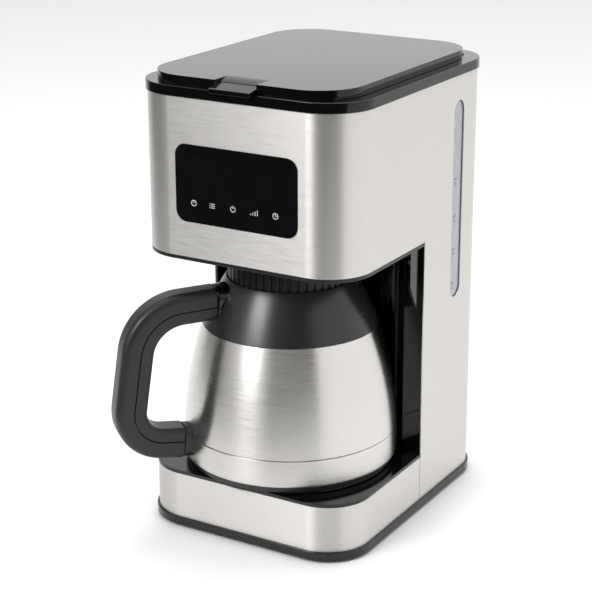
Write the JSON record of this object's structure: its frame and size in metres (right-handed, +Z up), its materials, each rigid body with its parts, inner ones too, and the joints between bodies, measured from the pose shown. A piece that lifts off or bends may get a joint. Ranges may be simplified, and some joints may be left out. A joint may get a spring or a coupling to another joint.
{
  "type": "drip coffee maker",
  "caption": "Drip coffee maker with an insulated steel jug, flip-up lid, lift-out filter basket and side water window.",
  "frame": {"origin": "middle of the body on the table, at the level of the feet", "axes": "+Z up, -Y the front with the display, +X the side with the water window"},
  "size_m": [0.182, 0.2618, 0.342],
  "materials": {
    "brushed_steel": "fine horizontal brushing",
    "jug_steel": "fine turned brushing",
    "inner_steel": "satin",
    "gloss_black": "polished",
    "satin_black": "satin moulded",
    "matte_black": "fine moulded grain",
    "grip_black": "soft satin",
    "foot_rubber": "matt",
    "panel_glass": "smoked, polished",
    "window_plastic": "translucent",
    "tank_plastic": "smoked translucent",
    "clear_plastic": "milky translucent",
    "silicone": "matt translucent",
    "circuit_green": "lacquered",
    "module_grey": "moulded",
    "zinc_steel": "zinc plated",
    "spring_steel": "drawn wire",
    "cast_aluminium": "as cast",
    "element_steel": "heat tinted",
    "ceramic": "glazed",
    "filter_gold": "fine mesh",
    "amber_plastic": "polished"
  },
  "bodies": {
    "root": {"bottom_cover": "matte_black", "rubber_feet": "foot_rubber", "base_screws": "zinc_steel", "base_band": "brushed_steel", "base_housing": "matte_black", "carafe_platform": "gloss_black", "column_front": "satin_black", "head_floor": "satin_black", "steel_wrap": "brushed_steel", "rear_cover": "matte_black", "rear_screws": "zinc_steel", "cord_gland": "satin_black", "gland_nut": "matte_black", "top_rim": "gloss_black", "top_deck": "matte_black", "brew_housing": "matte_black", "water_tank": "tank_plastic", "tank_seal": "silicone", "level_window": "window_plastic", "control_panel": "panel_glass", "display_module": "module_grey", "control_board": "circuit_green", "touch_springs": "spring_steel", "power_board": "circuit_green", "heater_body": "cast_aluminium", "heater_element": "element_steel", "heater_bracket": "zinc_steel", "heater_screws": "zinc_steel", "thermostat": "ceramic", "thermal_fuses": "ceramic", "check_valve": "clear_plastic", "inlet_hose": "silicone", "riser_hose": "silicone", "hose_clamps": "spring_steel", "riser_outlet": "clear_plastic"},
    "lid": {"lid": "gloss_black", "lid_tab": "gloss_black", "lid_liner": "matte_black", "shower_head": "module_grey", "lid_seal": "silicone", "hinge_pins": "zinc_steel"},
    "basket": {"filter_basket": "satin_black", "basket_filter": "filter_gold", "drip_spring": "spring_steel"},
    "drip_valve": {"drip_valve": "module_grey"},
    "jug": {"jug_shell": "jug_steel", "jug_cup": "jug_steel", "jug_liner": "inner_steel", "jug_foot": "satin_black", "jug_collar": "satin_black", "handle_bracket": "gloss_black", "jug_handle": "grip_black", "handle_inlay": "grip_black", "handle_foot": "grip_black"},
    "jug_lid": {"jug_lid": "satin_black", "jug_lid_plug": "matte_black", "jug_lid_seal": "silicone"},
    "check_ball": {"check_ball": "amber_plastic"}
  },
  "joints": [
    {"name": "lid_hinge", "type": "hinge", "parent": "root", "child": "lid", "pos_m": [0, 0.097, 0.3365], "axis": [-1, 0, 0], "range_deg": [0, 100]},
    {"name": "basket_lift", "type": "slide", "parent": "root", "child": "basket", "axis": [0, 0, 1], "range_m": [0, 0.115]},
    {"name": "jug_slide", "type": "slide", "parent": "root", "child": "jug", "axis": [0, -1, 0], "range_m": [0, 0.2]},
    {"name": "drip_valve_drop", "type": "slide", "parent": "basket", "child": "drip_valve", "axis": [0, 0, -1], "range_m": [0, 0.004], "deforming": ["drip_spring"]},
    {"name": "jug_lid_turn", "type": "hinge", "parent": "jug", "child": "jug_lid", "pos_m": [0, -0.0396, 0.19], "axis": [0, 0, 1], "range_deg": [0, 90]},
    {"name": "check_ball_lift", "type": "slide", "parent": "root", "child": "check_ball", "axis": [0, 0, 1], "range_m": [0, 0.0015]}
  ],
  "couplings": [
    {"joint": "basket_lift", "follows": "lid_hinge", "m_per_rad": 0.0655},
    {"joint": "drip_valve_drop", "follows": "jug_slide", "ratio": 0.0195}
  ]
}
